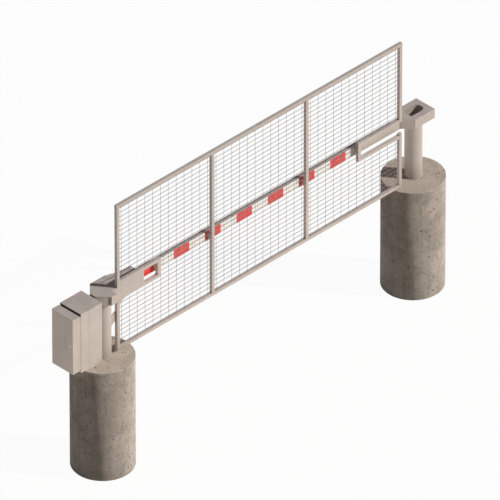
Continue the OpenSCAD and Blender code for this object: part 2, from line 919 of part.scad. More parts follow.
module crash_beam() {
    color(paint) difference() {
        block([root_len, -beam_depth / 2, arm_z - beam_h / 2], [beam_end_x, beam_depth / 2, arm_z + beam_h / 2]);
        block([root_len - over, beam_wall - beam_depth / 2, arm_z - beam_h / 2 + beam_wall],
              [beam_end_x + over, beam_depth / 2 - beam_wall, arm_z + beam_h / 2 - beam_wall]);
    }
}

module sheet_pair(x0, x1) {
    for (y = [-beam_depth / 2 - sheet_t, beam_depth / 2])
        block([x0, y, arm_z - beam_h / 2], [x1, y + sheet_t, arm_z + beam_h / 2]);
}

module red_sheets() {
    color([0.80, 0.16, 0.12])
        for (i = [0 : stripe_count - 1])
            sheet_pair(stripe_start + i * stripe_pitch, stripe_start + i * stripe_pitch + stripe_len);
}

module white_sheets() {
    color([0.90, 0.90, 0.88])
        for (i = [0 : stripe_count - 1])
            sheet_pair(stripe_start + i * stripe_pitch + stripe_len,
                       min(stripe_start + (i + 1) * stripe_pitch, stripe_end));
}

// Brackets that carry the leaf

module bracket_profile() {
    difference() {
        union() {
            translate([lobe_x, bracket_z0]) square([left_stile_end - lobe_x, root_z1 - bracket_z0]);
            translate([leaf_left, bracket_z0]) square([bracket_left_end - leaf_left, bracket_z1 - bracket_z0]);
            translate([left_stile_end, gusset_low]) square([gusset_w, bracket_z0 + bracket_t - gusset_low]);
        }
        translate([gusset_x, gusset_z]) circle(r = gusset_r);
        translate([window_x0, window_z0]) square([window_w, window_z1 - window_z0]);
    }
}

// The open back of the left bracket, inside its flanges
module bracket_hollow() {
    difference() {
        union() {
            translate([lobe_x + bracket_t, bracket_z0 + bracket_t])
                square([leaf_left - lobe_x, root_z1 - bracket_z0 - 2 * bracket_t]);
            translate([leaf_left + bracket_t, bracket_z0 + bracket_t])
                square([bracket_left_end - leaf_left - 2 * bracket_t, bracket_z1 - bracket_z0 - 2 * bracket_t]);
            translate([left_stile_end + bracket_t, gusset_low])
                square([gusset_w - bracket_t, bracket_z0 + bracket_t * 2 - gusset_low]);
        }
        translate([gusset_x, gusset_z]) circle(r = gusset_r + bracket_t);
        translate([window_x0 - bracket_t, window_z0 - bracket_t])
            square([window_w + 2 * bracket_t, window_z1 - window_z0 + 2 * bracket_t]);
    }
}

module left_bracket() {
    color(paint) difference() {
        upright_plate(leaf_front_y, leaf_back_y) bracket_profile();
        upright_plate(leaf_front_y + bracket_t, leaf_back_y + over) bracket_hollow();
        round_z(post_r + post_relief, bracket_z0 - over, root_z0, 0, 0);
    }
}

module right_bracket_upright() {
    color(paint) tube_z(bracket_z0, bracket_z1, bracket_right_x, leaf_front_y, tube_w, tube_wall);
}

module right_bracket_upper_bar() {
    color(paint) tube_x(bracket_right_x + tube_w, right_stile_x, leaf_front_y, bracket_z1 - tube_w,
                        tube_w, tube_wall);
}

module right_bracket_lower_bar() {
    color(paint) tube_x(bracket_right_x + tube_w, right_stile_x, leaf_front_y, bracket_z0, tube_w, tube_wall);
}

// Leaf frame

module top_rail() {
    color(paint) tube_x(leaf_left + cap_t, leaf_right - cap_t, leaf_front_y, rail_high_z, tube_w, tube_wall);
}

module bottom_rail() {
    color(paint) tube_x(leaf_left + cap_t, leaf_right - cap_t, leaf_front_y, leaf_z0, tube_w, tube_wall);
}

// The bracket parts the left stile in two
module left_stile() {
    color(paint) {
        tube_z(bracket_z1, rail_high_z, leaf_left, leaf_front_y, tube_w, tube_wall);
        tube_z(rail_low_z, bracket_z0, leaf_left, leaf_front_y, tube_w, tube_wall);
    }
}

module middle_stiles() {
    color(paint)
        for (i = [1 : bay_count - 1])
            tube_z(rail_low_z, rail_high_z, leaf_left + i * bay_pitch, leaf_front_y, tube_w, tube_wall);
}

// The break in the right stile leaves room for the catch head
module right_stile() {
    color(paint) {
        tube_z(arm_z + notch_high + cap_t, rail_high_z, right_stile_x, leaf_front_y, tube_w, tube_wall);
        tube_z(rail_low_z, arm_z - notch_low - cap_t, right_stile_x, leaf_front_y, tube_w, tube_wall);
    }
}

module frame_caps() {
    y1 = leaf_back_y;
    color(paint_shade) {
        for (z = [leaf_z0, rail_high_z], x = [leaf_left, leaf_right - cap_t])
            block([x, leaf_front_y, z], [x + cap_t, y1, z + tube_w]);
        for (z = [arm_z + notch_high, arm_z - notch_low - cap_t])
            block([right_stile_x, leaf_front_y, z], [leaf_right, y1, z + cap_t]);
        for (z = [bracket_z0, bracket_z1 - cap_t])
            block([bracket_right_x + tube_wall, leaf_front_y + tube_wall, z],
                  [bracket_right_x + tube_w - tube_wall, y1 - tube_wall, z + cap_t]);
    }
}

// Welded mesh: level wires in front, upright wires behind, cut out round the brackets

// Left end of a level wire in the first bay
function level_start(z) =
    z + wire_r > bracket_z0 && z - wire_r < bracket_z1 ? bracket_left_end
    : z + wire_r > gusset_low && z < bracket_z0
        ? gusset_x - sqrt(gusset_r * gusset_r - pow(z + wire_r - gusset_z, 2))
    : left_stile_end;

// Right end of a level wire in the last bay
function level_stop(z) =
    z + wire_r > bracket_z0 && z - wire_r < bracket_z1 ? bracket_right_x : right_stile_x;

// Top of the lower piece of an upright wire beside the left bracket
function upright_low(x) =
    x < gusset_x ? gusset_z + sqrt(gusset_r * gusset_r - pow(gusset_x - x + upright_r, 2)) : bracket_z0;

module mesh_bay(i) {
    x0 = leaf_left + i * bay_pitch + tube_w;
    x1 = leaf_left + (i + 1) * bay_pitch;
    level_count = floor((rail_high_z - rail_low_z - wire_d) / wire_pitch_z);
    level_first = (rail_high_z - rail_low_z - level_count * wire_pitch_z) / 2;
    upright_count = floor((x1 - x0 - upright_d) / wire_pitch_x);
    upright_first = (x1 - x0 - upright_count * wire_pitch_x) / 2;
    for (k = [0 : level_count]) {
        z = rail_low_z + level_first + k * wire_pitch_z;
        start = i == 0 ? level_start(z) : x0;
        stop = i == bay_count - 1 ? level_stop(z) : x1;
        round_x(wire_r, start, stop, level_y, z);
    }
    for (k = [0 : upright_count]) {
        x = x0 + upright_first + k * wire_pitch_x;
        cut_left = i == 0 && x - upright_r < bracket_left_end;
        cut_right = i == bay_count - 1 && x + upright_r > bracket_right_x;
        if (cut_left || cut_right) {
            round_z(upright_r, rail_low_z, cut_left ? upright_low(x) : bracket_z0, x, upright_y);
            round_z(upright_r, bracket_z1, rail_high_z, x, upright_y);
        } else {
            round_z(upright_r, rail_low_z, rail_high_z, x, upright_y);
        }
    }
}

module mesh_left() {
    color(wire_grey) mesh_bay(0);
}

module mesh_middle() {
    color(wire_grey)
        for (i = [1 : 1 : bay_count - 2])
            mesh_bay(i);
}

module mesh_right() {
    color(wire_grey) mesh_bay(bay_count - 1);
}

// Pads that hold the leaf off the beam
module pad(x0, x1) {
    on_sheet = x1 > stripe_start && x0 < stripe_end;
    block([x0, leaf_back_y, arm_z - pad_h / 2],
          [x1, -beam_depth / 2 - (on_sheet ? sheet_t : 0), arm_z + pad_h / 2]);
}

module spacer_pads() {
    color(paint_shade) {
        pad(window_x1, bracket_left_end);
        for (i = [1 : bay_count - 1])
            pad(leaf_left + i * bay_pitch, leaf_left + i * bay_pitch + tube_w);
        pad(bracket_right_x, bracket_right_x + tube_w);
    }
}

// Lock in the end of the beam

module lock_guide() {
    half_y = beam_depth / 2 - beam_wall - guide_fit;
    half_z = beam_h / 2 - beam_wall - guide_fit;
    color(steel) difference() {
        block([beam_end_x - guide_len, -half_y, arm_z - half_z], [beam_end_x, half_y, arm_z + half_z]);
        round_x(bolt_r + run_fit, beam_end_x - guide_len - over, beam_end_x + over, 0, arm_z);
    }
}

module lock_actuator() {
    x1 = beam_end_x - actuator_start;
    color([0.45, 0.47, 0.50]) difference() {
        round_x(beam_depth / 2 - beam_wall - seat_gap, x1 - actuator_len, x1, 0, arm_z);
        round_x(rod_r + run_fit, x1 - actuator_len + beam_wall, x1 + over, 0, arm_z);
    }
}

module lock_bolt() {
    x1 = beam_end_x - bolt_back;
    color(steel) union() {
        round_x(bolt_r, x1 - bolt_len, x1, 0, arm_z);
        round_x(rod_r, x1 - bolt_len - rod_len, x1 - bolt_len + over, 0, arm_z);
    }
}

left_footing();
right_footing();
left_post();
right_post();
catch_head();
pivot_saddle();
saddle_rib();
bearing_pedestal();
pivot_bush();
stop_bracket();
stop_bumper();
cabinet_sides();
cabinet_ends();
cabinet_back();
cabinet_front();
cabinet_brackets();
cabinet_bolts();
gearbox_shelf();
gearbox();
drive_motor();
control_unit();
conduit_hub();
door_seal();
hinge_fixed_leaves();
hinge_pins();
door_shell();
hinge_door_leaves();
latch_barrel();
latch_cam();
output_shaft();
drive_crank();
crank_pin();
link_rod();
arm_root();
root_base_plate();
pivot_shaft();
thrust_washers();
drive_lug();
lug_pin();
crash_beam();
red_sheets();
white_sheets();
left_bracket();
right_bracket_upright();
right_bracket_upper_bar();
right_bracket_lower_bar();
top_rail();
bottom_rail();
left_stile();
middle_stiles();
right_stile();
frame_caps();
mesh_left();
mesh_middle();
mesh_right();
spacer_pads();
lock_guide();
lock_actuator();
lock_bolt();
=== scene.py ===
import json
import math

import bmesh
import bpy
from mathutils import Matrix, Vector


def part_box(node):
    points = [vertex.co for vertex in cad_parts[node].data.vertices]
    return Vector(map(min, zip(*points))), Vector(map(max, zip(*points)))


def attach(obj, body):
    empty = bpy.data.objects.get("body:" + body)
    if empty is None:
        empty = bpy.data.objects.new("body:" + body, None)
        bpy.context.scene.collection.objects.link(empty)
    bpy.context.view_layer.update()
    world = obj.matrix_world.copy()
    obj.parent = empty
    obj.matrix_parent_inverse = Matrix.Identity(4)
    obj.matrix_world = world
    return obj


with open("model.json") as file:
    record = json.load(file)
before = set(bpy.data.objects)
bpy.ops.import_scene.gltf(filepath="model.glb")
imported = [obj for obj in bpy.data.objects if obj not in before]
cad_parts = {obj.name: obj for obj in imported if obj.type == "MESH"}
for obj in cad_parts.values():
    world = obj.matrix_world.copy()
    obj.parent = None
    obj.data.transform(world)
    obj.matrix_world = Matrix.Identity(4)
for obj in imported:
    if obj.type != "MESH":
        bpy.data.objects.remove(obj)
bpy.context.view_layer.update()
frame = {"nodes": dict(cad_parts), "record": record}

nodes = frame["nodes"]
scene = bpy.context.scene


# Camera, lamps and floor

VIEW_TARGET = (2.883, 0.006, 2.143)
VIEW_WIDTH = 6.925
VIEW_AZIMUTH = math.radians(-45)
VIEW_ELEVATION = math.radians(35.264)
SENSOR_WIDTH = 36
LENS_LENGTH = 1500
NEAREST = 1
SUN_ENERGY = 2.72
SUN_COLOUR = (1.0, 0.97, 0.93)
SUN_SPREAD = math.radians(1.2)
SUN_SIDE = math.radians(-54)
SUN_HEIGHT = math.radians(30)
SKY_LIGHT = (0.84, 0.92, 1.0, 1)
SKY_STRENGTH = 0.07
SKY_SEEN = (0.99, 0.99, 0.99, 1)
FLOOR_SIZE = 60
FLOOR_COLOUR = (0.62, 0.61, 0.60, 1)
FLOOR_GLOW = 1.03
FLOOR_GLOW_SHARE = 0.93
CARD_SIZE = 14
CARD_MIDDLE_X = 3.0
CARD_DROP = 0.01
CARD_COLOUR = (1.0, 0.95, 0.90, 1)
CARD_GLOW = 1.26
WHITE = (1, 1, 1, 1)


def set_up_camera():
    """A long lens from the front left, so that the view is nearly parallel."""
    back = Vector((math.sin(VIEW_AZIMUTH) * math.cos(VIEW_ELEVATION),
                   -math.cos(VIEW_AZIMUTH) * math.cos(VIEW_ELEVATION), math.sin(VIEW_ELEVATION)))
    data = bpy.data.cameras.new("long_lens")
    data.sensor_width = SENSOR_WIDTH
    data.lens = LENS_LENGTH
    distance = VIEW_WIDTH * LENS_LENGTH / SENSOR_WIDTH
    data.clip_start = NEAREST
    data.clip_end = distance * 3
    camera = bpy.data.objects.new("camera", data)
    camera.rotation_mode = "QUATERNION"
    camera.location = Vector(VIEW_TARGET) + back * distance
    camera.rotation_quaternion = (-back).to_track_quat("-Z", "Y")
    scene.collection.objects.link(camera)
    scene.camera = camera


def set_up_light():
    """One low sun from the right front, and a faint even sky that shows as white."""
    data = bpy.data.lights.new("sun", "SUN")
    data.energy = SUN_ENERGY
    data.angle = SUN_SPREAD
    data.color = SUN_COLOUR
    sun = bpy.data.objects.new("sun", data)
    towards = Vector((math.cos(SUN_SIDE) * math.cos(SUN_HEIGHT),
                      math.sin(SUN_SIDE) * math.cos(SUN_HEIGHT), math.sin(SUN_HEIGHT)))
    sun.rotation_mode = "QUATERNION"
    sun.rotation_quaternion = towards.to_track_quat("Z", "Y")
    scene.collection.objects.link(sun)

    world = bpy.data.worlds.new("pale_sky")
    world.use_nodes = True
    tree = world.node_tree
    tree.nodes.clear()
    out = tree.nodes.new("ShaderNodeOutputWorld")
    lit = tree.nodes.new("ShaderNodeBackground")
    lit.inputs["Color"].default_value = SKY_LIGHT
    lit.inputs["Strength"].default_value = SKY_STRENGTH
    seen = tree.nodes.new("ShaderNodeBackground")
    seen.inputs["Color"].default_value = SKY_SEEN
    path = tree.nodes.new("ShaderNodeLightPath")
    either = tree.nodes.new("ShaderNodeMath")
    either.operation = "MAXIMUM"
    through = tree.nodes.new("ShaderNodeMath")
    through.operation = "MAXIMUM"
    mix = tree.nodes.new("ShaderNodeMixShader")
    tree.links.new(path.outputs["Is Camera Ray"], either.inputs[0])
    tree.links.new(path.outputs["Is Glossy Ray"], either.inputs[1])
    tree.links.new(either.outputs[0], through.inputs[0])
    tree.links.new(path.outputs["Is Transmission Ray"], through.inputs[1])
    tree.links.new(through.outputs[0], mix.inputs[0])
    tree.links.new(lit.outputs[0], mix.inputs[1])
    tree.links.new(seen.outputs[0], mix.inputs[2])
    tree.links.new(mix.outputs[0], out.inputs["Surface"])
    scene.world = world


def set_up_floor():
    """A pale floor that keeps a faint shadow."""
    grid = bmesh.new()
    bmesh.ops.create_grid(grid, x_segments=2, y_segments=2, size=FLOOR_SIZE)
    mesh = bpy.data.meshes.new("floor")
    grid.to_mesh(mesh)
    grid.free()
    floor = bpy.data.objects.new("floor", mesh)
    scene.collection.objects.link(floor)
    material = bpy.data.materials.new("floor_white")
    material.use_nodes = True
    tree = material.node_tree
    tree.nodes.clear()
    out = tree.nodes.new("ShaderNodeOutputMaterial")
    matt = tree.nodes.new("ShaderNodeBsdfDiffuse")
    matt.inputs["Color"].default_value = FLOOR_COLOUR
    glow = tree.nodes.new("ShaderNodeEmission")
    glow.inputs["Color"].default_value = WHITE
    glow.inputs["Strength"].default_value = FLOOR_GLOW
    path = tree.nodes.new("ShaderNodeLightPath")
    share = tree.nodes.new("ShaderNodeMath")
    share.operation = "MAXIMUM"
    part = tree.nodes.new("ShaderNodeMath")
    part.operation = "MULTIPLY"
    part.inputs[1].default_value = FLOOR_GLOW_SHARE
    mix = tree.nodes.new("ShaderNodeMixShader")
    tree.links.new(path.outputs["Is Camera Ray"], share.inputs[0])
    tree.links.new(path.outputs["Is Glossy Ray"], share.inputs[1])
    tree.links.new(share.outputs[0], part.inputs[0])
    tree.links.new(part.outputs[0], mix.inputs[0])
    tree.links.new(matt.outputs[0], mix.inputs[1])
    tree.links.new(glow.outputs[0], mix.inputs[2])
    tree.links.new(mix.outputs[0], out.inputs["Surface"])
    mesh.materials.append(material)


def set_up_bounce():
    """A card level with the footings' tops. It throws soft light up at the gate and isn't seen."""
    card_mesh = bmesh.new()
    bmesh.ops.create_grid(card_mesh, x_segments=2, y_segments=2, size=CARD_SIZE)
    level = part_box("left_footing")[1][2] - CARD_DROP
    bmesh.ops.translate(card_mesh, verts=card_mesh.verts, vec=(CARD_MIDDLE_X, 0.0, level))
    mesh = bpy.data.meshes.new("bounce_card")
    card_mesh.to_mesh(mesh)
    card_mesh.free()
    card = bpy.data.objects.new("bounce_card", mesh)
    scene.collection.objects.link(card)
    card.visible_camera = False
    card.visible_shadow = False
    card.visible_glossy = False
    card.visible_transmission = False
    material = bpy.data.materials.new("card_glow")
    material.use_nodes = True
    tree = material.node_tree
    tree.nodes.clear()
    out = tree.nodes.new("ShaderNodeOutputMaterial")
    glow = tree.nodes.new("ShaderNodeEmission")
    glow.inputs["Color"].default_value = CARD_COLOUR
    glow.inputs["Strength"].default_value = CARD_GLOW
    clear = tree.nodes.new("ShaderNodeBsdfTransparent")
    side = tree.nodes.new("ShaderNodeNewGeometry")
    mix = tree.nodes.new("ShaderNodeMixShader")
    tree.links.new(side.outputs["Backfacing"], mix.inputs[0])
    tree.links.new(glow.outputs[0], mix.inputs[1])
    tree.links.new(clear.outputs[0], mix.inputs[2])
    tree.links.new(mix.outputs[0], out.inputs["Surface"])
    mesh.materials.append(material)


set_up_camera()
set_up_light()
set_up_floor()
set_up_bounce()
scene.view_settings.view_transform = "Standard"


# Shader maths

class Shade:
    """A value in a finish: arithmetic on it adds the Math nodes."""

    def __init__(self, finish, socket):
        self.finish = finish
        self.socket = socket

    def _maths(self, operation, first, second):
        """Adds a Math node."""
        return self.finish.node("ShaderNodeMath", {"operation": operation}, {0: first, 1: second})

    def __add__(self, other):
        return self._maths("ADD", self, other)

    def __radd__(self, other):
        return self._maths("ADD", other, self)

    def __rsub__(self, other):
        return self._maths("SUBTRACT", other, self)

    def __mul__(self, other):
        return self._maths("MULTIPLY", self, other)


class Finish:
    """One material of the gate, built from nodes on its Principled shader."""

    def __init__(self, name):
        self.material = bpy.data.materials.new(name)
        self.material.use_nodes = True
        self.tree = self.material.node_tree
        self.shader = self.tree.nodes["Principled BSDF"]
        self.place = self.node("ShaderNodeTexCoord", {}, {}, "Object")

    def node(self, kind, settings, inputs, output=0):
        """Adds a node with its settings and its inputs, each a plain value or a Shade."""
        made = self.tree.nodes.new(kind)
        for key, value in settings.items():
            setattr(made, key, value)
        for key, value in inputs.items():
            if isinstance(value, Shade):
                self.tree.links.new(value.socket, made.inputs[key])
            else:
                made.inputs[key].default_value = value
        return Shade(self, made.outputs[output])

    def spread(self, scale):
        """Object coordinates stretched by a scale for each axis."""
        return self.node("ShaderNodeMapping", {}, {"Vector": self.place, "Scale": scale})

    def cloud(self, scale, detail=4.0, rough=0.55, stretch=None):
        """Smooth noise from 0 to 1."""
        where = self.spread(stretch) if stretch else self.place
        return self.node("ShaderNodeTexNoise", {"noise_dimensions": "3D"},
                         {"Vector": where, "Scale": scale, "Detail": detail, "Roughness": rough}, "Fac")

    def cells(self, scale, feature="F1"):
        """Distance to the nearest of scattered points, or to the edge between two of them."""
        return self.node("ShaderNodeTexVoronoi", {"voronoi_dimensions": "3D", "feature": feature},
                         {"Vector": self.place, "Scale": scale}, "Distance")

    def step(self, value, low, high):
        """0 below low, 1 above high, and smooth between."""
        return self.node("ShaderNodeMapRange", {"interpolation_type": "SMOOTHSTEP", "clamp": True},
                         {"Value": value, "From Min": low, "From Max": high,
                          "To Min": 0.0, "To Max": 1.0})

    def blend(self, amount, under, over):
        """Mixes two colours, each a linear tuple or a Shade."""
        return self.node("ShaderNodeMix",
                         {"data_type": "RGBA", "blend_type": "MIX", "clamp_factor": True},
                         {0: amount, 6: under, 7: over}, 2)

    def upward(self):
        """1 on faces that look up, 0 on upright ones."""
        normal = self.node("ShaderNodeNewGeometry", {}, {}, "Normal")
        return self.node("ShaderNodeSeparateXYZ", {}, {0: normal}, 2)

    def height(self):
        """Height over the underside of the footings, in metres."""
        return self.node("ShaderNodeSeparateXYZ", {}, {0: self.place}, 2)

    def bumps(self, *layers):
        """Stacks bump layers, each a height and a depth in metres."""
        normal = None
        for height, depth, strength in layers:
            inputs = {"Height": height, "Distance": depth, "Strength": strength}
            if normal:
                inputs["Normal"] = normal
            normal = self.node("ShaderNodeBump", {}, inputs)
        self.set("Normal", normal)

    def set(self, socket, value):
        """Gives the Principled shader's socket a value or a Shade."""
        if isinstance(value, Shade):
            self.tree.links.new(value.socket, self.shader.inputs[socket])
        else:
            self.shader.inputs[socket].default_value = value


def colour(red, green, blue):
    """A colour as seen on a screen, from 0 to 255, as linear values."""
    def linear(level):
        """One channel."""
        level /= 255
        return level / 12.92 if level <= 0.04045 else ((level + 0.055) / 1.055) ** 2.4
    return (linear(red), linear(green), linear(blue), 1.0)


# Finishes. Their scales are cells or waves per metre and their other numbers shares from 0 to 1.

WORN_STEEL = colour(104, 92, 80)
GRIME = colour(128, 117, 104)
# Dust on what looks up, and painted light that makes the painted tops paler
DUST_AND_TOP_LIGHT = colour(226, 216, 212)
CEMENT = (colour(200, 187, 174), colour(228, 215, 202))
CEMENT_STREAK = colour(156, 144, 132)
CEMENT_DARK = colour(150, 139, 128)
CEMENT_PALE = colour(236, 224, 212)
CEMENT_LIFT = colour(182, 175, 164)
CEMENT_SAND = colour(118, 111, 103)
# Colour for the lower part of the footings, which is made darker towards the bottom
CEMENT_LOW = colour(128, 118, 108)
# Painted light: a paler cement for the footings' tops
CEMENT_TOP_LIGHT = colour(232, 220, 204)
# Painted shade inside the pits
CEMENT_PIT_SHADE = colour(70, 64, 58)
WIRE = (colour(104, 94, 98), colour(136, 126, 130))
ROAD_DUST = colour(150, 140, 128)
RUBBER = (colour(78, 73, 73), colour(108, 102, 100))
CASE = (colour(196, 198, 200), colour(210, 211, 212))


def make_paint(name, base, shadow, worn):
    """Paint on steel: mottled colour, dust and painted top light on what looks up, run marks, small
    chips and orange peel.
    """
    paint = Finish(name)
    mottle = paint.cloud(2.3, 3.0)
    fine = paint.cloud(38.0, 5.0)
    runs = paint.cloud(1.0, 4.0, 0.6, (26.0, 26.0, 1.4))
    up = paint.upward()
    tone = paint.step(mottle * 0.7 + fine * 0.3, 0.35, 0.68)
    body = paint.blend(tone, shadow, base)
    grime = paint.step(runs, 0.52, 0.78) * (1 - paint.step(up, 0.3, 0.9)) * 0.30
    body = paint.blend(grime, body, GRIME)
    # Dust on faces that look up, also painted light: it makes the tops paler, as if lit from above
    dust = paint.step(up, 0.5, 0.95) * (0.45 + paint.step(paint.cloud(6.0, 5.0), 0.3, 0.7) * 0.45)
    body = paint.blend(dust, body, DUST_AND_TOP_LIGHT)
    speck = paint.cells(95.0)
    patch = paint.step(paint.cloud(9.0, 3.0), 0.60, 0.68)
    chip = paint.step(speck, 0.10, 0.06) * patch
    body = paint.blend(chip, body, worn)
    paint.set("Base Color", body)
    paint.set("Roughness", 0.46 + fine * 0.14 + dust * 0.3 + chip * 0.1)
    paint.set("Metallic", 0.0)
    paint.set("Diffuse Roughness", 0.6)
    peel = paint.cloud(420.0, 2.0)
    paint.bumps((peel, 0.0004, 0.35), (fine, 0.0006, 0.25), (1 - chip, 0.0004, 0.5))
    return paint.material


def make_concrete(name):
    """Cast in a tube: cement colour in clouds, water streaks, lift lines, pits and fine sand, darker
    towards the bottom; painted shade in the pits and painted light on the tops.
    """
    cast = Finish(name)
    clouds = cast.cloud(3.2, 6.0, 0.62)
    streaks = cast.cloud(1.0, 5.0, 0.6, (16.0, 16.0, 0.9))
    lifts = cast.cloud(1.0, 3.0, 0.5, (1.2, 1.2, 9.0))
    grain = cast.cloud(120.0, 6.0, 0.7)
    body = cast.blend(cast.step(clouds, 0.32, 0.70), *CEMENT)
    body = cast.blend(cast.step(streaks, 0.50, 0.74) * 0.35, body, CEMENT_STREAK)
    mottle = cast.cloud(19.0, 5.0, 0.72)
    body = cast.blend(cast.step(mottle, 0.54, 0.70) * 0.75, body, CEMENT_DARK)
    body = cast.blend(cast.step(mottle, 0.46, 0.32) * 0.70, body, CEMENT_PALE)
    body = cast.blend(cast.step(lifts, 0.55, 0.72) * 0.30, body, CEMENT_LIFT)
    body = cast.blend(cast.step(grain, 0.45, 0.75) * 0.35, body, CEMENT_SAND)
    # Darker towards the bottom of the footings
    low_darkening = 1 - cast.step(cast.height() + clouds * 0.3, 0.15, 0.62)
    body = cast.blend(low_darkening * 0.18, body, CEMENT_LOW)
    # Painted light: faces that look up are made paler, as if lit from above
    body = cast.blend(cast.step(cast.upward(), 0.6, 0.9) * 0.35, body, CEMENT_TOP_LIGHT)
    # Small pits, dented by the bump and darkened with painted shade inside them
    pits = cast.cells(11.0)
    holes = cast.step(pits, 0.19, 0.12) * cast.step(cast.cloud(3.1, 3.0), 0.50, 0.58)
    small = cast.step(cast.cells(27.0), 0.22, 0.14) * cast.step(cast.cloud(5.0, 2.0), 0.46, 0.60)
    pit_shade = holes + small
    body = cast.blend(pit_shade * 0.75, body, CEMENT_PIT_SHADE)
    cast.set("Base Color", body)
    cast.set("Roughness", 0.86 + grain * 0.1)
    cast.set("Diffuse Roughness", 1.0)
    cast.bumps((grain, 0.0012, 0.6), (clouds, 0.006, 0.25), (1 - pit_shade, 0.006, 0.9))
    return cast.material


def make_wire(name):
    """Weathered wire: dull grey, with paler bloom along it."""
    wire = Finish(name)
    bloom = wire.cloud(60.0, 4.0)
    body = wire.blend(wire.step(bloom, 0.35, 0.7), *WIRE)
    wire.set("Base Color", body)
    wire.set("Metallic", 0.25)
    wire.set("Roughness", 0.42 + bloom * 0.2)
    wire.bumps((wire.cloud(300.0, 2.0), 0.0003, 0.3))
    return wire.material


def make_sheet(name, base, edge):
    """Retro-reflective sheet: small pressed cells under a clear film, with road dust."""
    sheet = Finish(name)
    cells = sheet.cells(240.0, "DISTANCE_TO_EDGE")
    lines = sheet.step(cells, 0.10, 0.03)
    dust = sheet.cloud(14.0, 5.0)
    body = sheet.blend(lines * 0.6, base, edge)
    body = sheet.blend(sheet.step(dust, 0.5, 0.8) * 0.3, body, ROAD_DUST)
    sheet.set("Base Color", body)
    sheet.set("Roughness", 0.25 + dust * 0.25)
    sheet.set("Coat Weight", 0.5)
    sheet.bumps((1 - lines, 0.0002, 0.3))
    return sheet.material


def make_steel(name, base, dull, rough):
    """Turned or drawn steel: fine lines, an oil film and a little tarnish."""
    steel = Finish(name)
    lines = steel.cloud(1.0, 3.0, 0.6, (40.0, 900.0, 40.0))
    film = steel.cloud(18.0, 4.0)
    body = steel.blend(steel.step(film, 0.35, 0.75), base, dull)
    steel.set("Base Color", body)
    steel.set("Metallic", 1.0)
    steel.set("Roughness", rough + lines * 0.12 + film * 0.12)
    steel.bumps((lines, 0.0002, 0.2))
    return steel.material


def make_enamel(name, base, dull):
    """Machine enamel over a casting: sand texture, oily dust in patches."""
    enamel = Finish(name)
    sand = enamel.cloud(160.0, 5.0, 0.65)
    dust = enamel.cloud(8.0, 5.0)
    body = enamel.blend(enamel.step(dust, 0.4, 0.75) * 0.6, base, dull)
    enamel.set("Base Color", body)
    enamel.set("Roughness", 0.38 + dust * 0.25)
    enamel.bumps((sand, 0.0009, 0.4))
    return enamel.material


def make_rubber(name):
    """Weathered rubber with a pale bloom."""
    rubber = Finish(name)
    bloom = rubber.cloud(20.0, 5.0)
    body = rubber.blend(rubber.step(bloom, 0.4, 0.8), *RUBBER)
    rubber.set("Base Color", body)
    rubber.set("Roughness", 0.72 + bloom * 0.15)
    rubber.bumps((rubber.cloud(240.0, 4.0), 0.0005, 0.4))
    return rubber.material


def make_plastic(name):
    """Moulded case with a fine grain."""
    case = Finish(name)
    cloud = case.cloud(5.0, 4.0)
    body = case.blend(case.step(cloud, 0.3, 0.7), *CASE)
    case.set("Base Color", body)
    case.set("Roughness", 0.5 + cloud * 0.1)
    case.bumps((case.cells(700.0), 0.0002, 0.3))
    return case.material


finishes = {
    "paint": make_paint("painted_steel", colour(200, 188, 179), colour(191, 179, 170), WORN_STEEL),
    # A darker copy of the paint: painted shade, used on the slot's cover plate
    "painted_shade": make_paint("shade_painted_steel", colour(142, 130, 112), colour(130, 118, 102), WORN_STEEL),
    "concrete": make_concrete("cast_concrete"),
    "mesh_steel": make_wire("mesh_wire"),
    "steel": make_steel("plain_steel", colour(186, 188, 190), colour(150, 150, 148), 0.26),
    "machine": make_enamel("machine_enamel", colour(86, 98, 112), colour(74, 74, 72)),
    "brass": make_steel("bearing_bronze", colour(202, 160, 96), colour(160, 120, 68), 0.30),
    "rubber": make_rubber("black_rubber"),
    "red_sheet": make_sheet("red_sheet", colour(230, 56, 44), colour(150, 26, 22)),
    "white_sheet": make_sheet("white_sheet", colour(242, 240, 234), colour(204, 202, 196)),
    "plastic": make_plastic("case_plastic"),
}


def dress(piece, slot):
    """Gives a piece its finish."""
    piece.data.materials.clear()
    piece.data.materials.append(finishes[slot])


for entry in frame["record"]["subparts"]:
    dress(nodes[entry["node"]], entry["material_slot"])


# Added pieces, in metres. PAD is how far a fitting sits in, or off, the face that it is fixed to.

PAD = 0.0004
JOIN = 1e-6
SPLIT_JOIN = 1e-5
FLAT = 1e-9
BEAD_SIDES = 8
SWELL_MEAN = 0.86
SWELL_WAVES = ((0.14, 2.4), (0.06, 0.61))
foot_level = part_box("left_footing")[1][2]


def new_piece(name, body, slot, mesh, finish=None):
    """Turns bmesh geometry into a piece that rides on a body, in its slot's finish or another."""
    bmesh.ops.remove_doubles(mesh, verts=mesh.verts, dist=JOIN)
    bmesh.ops.recalc_face_normals(mesh, faces=mesh.faces)
    data = bpy.data.meshes.new(name)
    mesh.to_mesh(data)
    mesh.free()
    data.materials.append(finishes[finish or slot])
    for face in data.polygons:
        face.use_smooth = False
    piece = bpy.data.objects.new(name, data)
    scene.collection.objects.link(piece)
    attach(piece, body)


def soften(mesh, edges, width):
    """Rounds edges."""
    bmesh.ops.bevel(mesh, geom=edges, offset=width, offset_type="OFFSET", affect="EDGES",
                    segments=2, profile=0.5, material=-1, clamp_overlap=True)


def edges_of(verts):
    """The edges at some vertices, each once and always in the same order."""
    return list(dict.fromkeys(e for v in verts for e in v.link_edges))


def add_bar(mesh, low, high, edge):
    """A box with soft edges."""
    low, high = Vector(low), Vector(high)
    size = high - low
    place = Matrix.Translation((low + high) / 2) @ Matrix.Diagonal((size.x, size.y, size.z, 1))
    made = bmesh.ops.create_cube(mesh, size=1.0, matrix=place)
    soften(mesh, edges_of(made["verts"]), edge)


